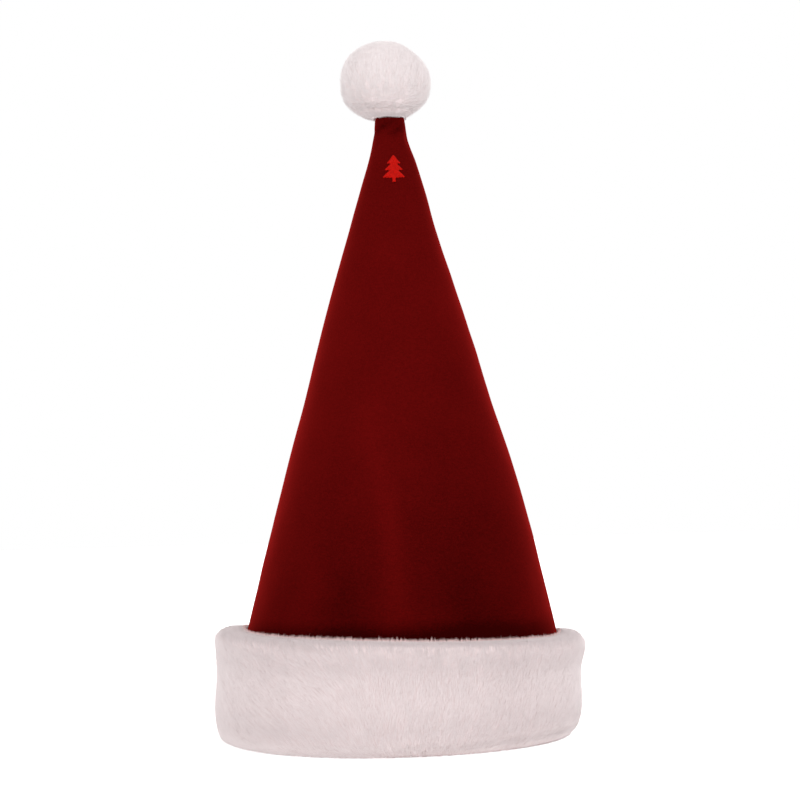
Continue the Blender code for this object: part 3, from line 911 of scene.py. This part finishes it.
def makePompomPile():
    rng = pompomHairs["random"]
    count = pompomHairs["count"]
    ways = unit(rng.normal(size=(count, 3)))
    roots = pompomPoints(ways)
    # None where the crown's tip goes in
    clear = crown["hemRadius"] * crownRadius[-1] + pompomHairs["seatClear"]
    free = np.hypot(roots[:, 0] - tipMiddle, roots[:, 1]) > clear
    ways = ways[free | (ways[:, 2] > 0)]
    roots = pompomPoints(ways)
    count = len(ways)
    normals = pompomNormals(ways)
    comb = unit(np.array(pompomHairs["comb"]))
    way = comb - normals * (normals @ comb)[:, None]
    # On the underside they are short and lie every way
    start, over = pompomHairs["parting"]
    parted = 1 - ease((np.linalg.norm(way, axis=1, keepdims=True) - start) / over)
    parted = np.where((normals @ comb)[:, None] < 0, parted, 0.0)
    way = unit(way) + rng.normal(0, pompomHairs["partedStray"], (count, 3)) * parted
    # Tufts stray mostly in the lower half
    top, over = pompomHairs["tuftTop"]
    rest = pompomHairs["tuftRest"]
    tufted = ease((pompomMiddle[2] + top - roots[:, 2]) / over)[:, None] * (1 - rest) + rest
    stray = 0.0
    for width, most, seed in pompomHairs["tufts"]:
        stray = stray + np.stack([waves(roots, width, seed + k) for k in range(3)], -1) * most
    way = way + stray * tufted + rng.normal(0, pompomHairs["stray"], (count, 3))
    way = unit(way - normals * (normals * way).sum(-1, keepdims=True))
    length = pompomHairs["length"] * rng.uniform(*pompomHairs["lengths"], (count, 1))
    length = length * (1 - pompomHairs["partedShort"] * parted)
    tipWays = roots + way * length - pompomMiddle
    tipNormals = pompomNormals(tipWays)
    width, byTuft, single = pompomHairs["uneven"]
    out = waves(roots, width, 70) * tufted[:, 0] * byTuft + rng.normal(size=count) * single
    out = pompomHairs["proud"] + pompomHairs["loose"] * out
    tips = pompomPoints(tipWays) + tipNormals * out[:, None]
    roots = roots - normals * pompomHairs["sunk"]
    usual, slow, single = pompomHairs["tone"]
    tones = usual + slow * waves(roots, 0.010, 71) + rng.normal(0, single, count)
    # Painted shade on the lower part of the ball
    paintedUnderShade, top, over = pompomHairs["shade"]
    tones = tones - paintedUnderShade * ease((pompomMiddle[2] + top - roots[:, 2]) / over)
    lit = unit((normals + tipNormals) * (1, 1, pompomHairs["level"]))
    count = collar["count"]
    bearing = rng.uniform(0, 2 * math.pi, count)
    drop = rng.uniform(*collar["drop"], count)
    ways = np.stack([np.sin(drop) * np.sin(bearing), -np.sin(drop) * np.cos(bearing), -np.cos(drop)], -1)
    normals = pompomNormals(ways)
    start = pompomPoints(ways) - normals * 0.001
    neck = crown["hemRadius"] * crownRadius[-1] + collar["neckGap"]
    bearing = bearing + rng.normal(0, 0.08, count)
    end = np.stack([tipMiddle + neck * np.sin(bearing), -neck * np.cos(bearing), 0 * bearing], -1)
    end[:, 2] = crown["neck"] + collar["above"] + collar["sideRise"] * np.sin(bearing) ** 2
    uneven = collar["uneven"]
    end[:, 2] += uneven * rng.normal(size=count) + uneven * waves(end, 0.0022, 73)
    roots, tips = np.concatenate([roots, start]), np.concatenate([tips, end])
    lit = np.concatenate([lit, normals])
    tones = np.concatenate([tones, rng.uniform(*collar["tones"], count)])
    layPile("pompom_pile", roots, tips, lit, pompomHairs, tones, pompomPile)


makePompomGround()
makePompomPile()
print("pompom made")


# Fir: three tiers of drooping boughs in satin stitch, a plain design of this hat's own

fir = {
    "height": 0.0172,
    "belowNeck": 0.0328,
    "bearing": math.radians(3.0),
    "relief": 0.0009,
    "edge": 0.45,  # relief at the outline, a share of the relief at the middle
    "droop": 0.14,
    "dive": (0.0009, 0.86),  # a stitch dives this deep, past this share of its half width
    "stitches": 42,
    "strand": 0.00027,  # radius of a stitch
    "sides": 6,
    "knots": 15,
}
firUp = (0.000, 0.150, 0.235, 0.350, 0.450, 0.500, 0.600, 0.690, 0.735, 0.850, 1.000)
firHalf = (0.050, 0.050, 0.430, 0.290, 0.140, 0.350, 0.220, 0.110, 0.255, 0.140, 0.015)


def firPoints(across, up, lift):
    # Across and up from the fir's foot along the cloth, lifted off it
    height = crown["neck"] - fir["belowNeck"] - fir["height"] / 2 + up
    radius = crownRadiusAt(np.full_like(height, fir["bearing"]), height)
    return crownPoints(fir["bearing"] + across / radius, height, lift)


def makeFir():
    # A stitch is a thin tube across a row of the outline, high in the middle and diving
    # into the cloth at both ends
    up = (np.arange(fir["stitches"]) + 0.5) / fir["stitches"]
    half = np.interp(up, firUp, firHalf) * fir["height"]
    across = np.linspace(-1.0, 1.0, fir["knots"])
    out = across[None, :] * half[:, None]
    hang = fir["droop"] * half[:, None] * across[None, :] ** 2
    depth, dives = fir["dive"]
    relief = fir["relief"] * (1 - (1 - fir["edge"]) * np.abs(across))
    relief = relief - depth * ease((np.abs(across) - dives) / (1 - dives))
    path = firPoints(out, up[:, None] * fir["height"] - hang, np.broadcast_to(relief, out.shape))
    turn = np.linspace(0, 2 * math.pi, fir["sides"], endpoint=False)
    outwards = np.array((math.sin(fir["bearing"]), -math.cos(fir["bearing"]), 0.25))
    ahead = unit(np.gradient(path, axis=1))
    rising = unit(np.cross(ahead, unit(outwards)))
    facing = np.cross(rising, ahead)
    ring = rising[:, :, None] * np.cos(turn)[:, None] + facing[:, :, None] * np.sin(turn)[:, None]
    tube = path[:, :, None] + fir["strand"] * ring
    each = fir["knots"] * fir["sides"]
    single = ringFaces(fir["knots"], fir["sides"])[:, ::-1]
    quads = (single[None] + (np.arange(fir["stitches"]) * each)[:, None, None]).reshape(-1, 4)
    ends = np.array([np.arange(fir["sides"]), np.arange(fir["sides"])[::-1] + each - fir["sides"]])
    caps = (ends[None] + (np.arange(fir["stitches"]) * each)[:, None, None]).reshape(-1, fir["sides"])
    piece = newPiece("fir_stitches", tube.reshape(-1, 3), [quads, caps], [thread])
    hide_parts("embroidered_fir")


makeFir()
print("fir made")


# Floor, light and camera

studio = {
    "floorHalf": 6.0,
    "floorColour": (0.88, 0.875, 0.875),
    "worldStrength": 1.12,  # the even fill on the hat
    "floorGlow": 0.75,  # added for the camera alone, so that the floor meets the backdrop
    "floorBounce": 0.25,  # added for all other light, as a lit sweep throws it back
    "keyPlace": (0.2, -2.6, 0.35),
    "keyAim": (0, 0, 0.2),
    "keyPower": 18.5,
    "keySize": 1.6,
}
shot = {
    "place": (0.0, -1.15, 0.1405),
    "aim": (0.0053, 0.0, 0.2043),
    "roll": -1.5,  # degrees; the hat leans to the left in the picture
    "lens": 84.4,
}


def makeFloor():
    half = studio["floorHalf"]
    mesh = bpy.data.meshes.new("floor")
    corners = [(-half, -half, 0), (half, -half, 0), (half, half, 0), (-half, half, 0)]
    mesh.from_pydata(corners, [], [(0, 1, 2, 3)])
    floor = bpy.data.objects.new("floor", mesh)
    bpy.context.scene.collection.objects.link(floor)
    made = newMaterial("pale floor", {
        "Base Color": (*studio["floorColour"], 1.0), "Roughness": 0.7, "Specular IOR Level": 0.1,
        "Emission Color": (1.0, 1.0, 1.0, 1.0),
    })
    seen = addNode(made, "ShaderNodeLightPath").outputs["Is Camera Ray"]
    glow = ranged(made, seen, 0.0, 1.0, studio["floorBounce"], studio["floorGlow"])
    toShader(made, "Emission Strength", glow)
    mesh.materials.append(made)


def makeWorld():
    # White all round for the camera, and a dimmer even fill for the hat
    world = bpy.data.worlds.new("studio")
    world.use_nodes = True
    nodes, links = world.node_tree.nodes, world.node_tree.links
    seen = nodes.new("ShaderNodeLightPath")
    strength = nodes.new("ShaderNodeMapRange")
    strength.inputs["To Min"].default_value = studio["worldStrength"]
    strength.inputs["To Max"].default_value = 1.0
    links.new(seen.outputs["Is Camera Ray"], strength.inputs["Value"])
    links.new(strength.outputs["Result"], nodes["Background"].inputs["Strength"])
    nodes["Background"].inputs["Color"].default_value = (1.0, 1.0, 1.0, 1.0)
    bpy.context.scene.world = world


def softLight(name, place, aim, size, power):
    lamp = bpy.data.lights.new(name, "AREA")
    lamp.shape = "DISK"
    lamp.size = size
    lamp.energy = power
    light = bpy.data.objects.new(name, lamp)
    bpy.context.scene.collection.objects.link(light)
    light.location = place
    light.rotation_euler = (Vector(aim) - Vector(place)).to_track_quat("-Z", "Y").to_euler()


def makeCamera():
    lens = bpy.data.cameras.new("camera")
    lens.lens = shot["lens"]
    camera = bpy.data.objects.new("camera", lens)
    bpy.context.scene.collection.objects.link(camera)
    facing = (Vector(shot["aim"]) - Vector(shot["place"])).to_track_quat("-Z", "Y")
    turn = facing.to_matrix().to_4x4() @ Matrix.Rotation(math.radians(shot["roll"]), 4, "Z")
    camera.matrix_world = Matrix.Translation(shot["place"]) @ turn
    bpy.context.scene.camera = camera


makeFloor()
makeWorld()
softLight("key", studio["keyPlace"], studio["keyAim"], studio["keySize"], studio["keyPower"])
makeCamera()
bpy.context.scene.view_settings.view_transform = "Standard"
print("studio made")
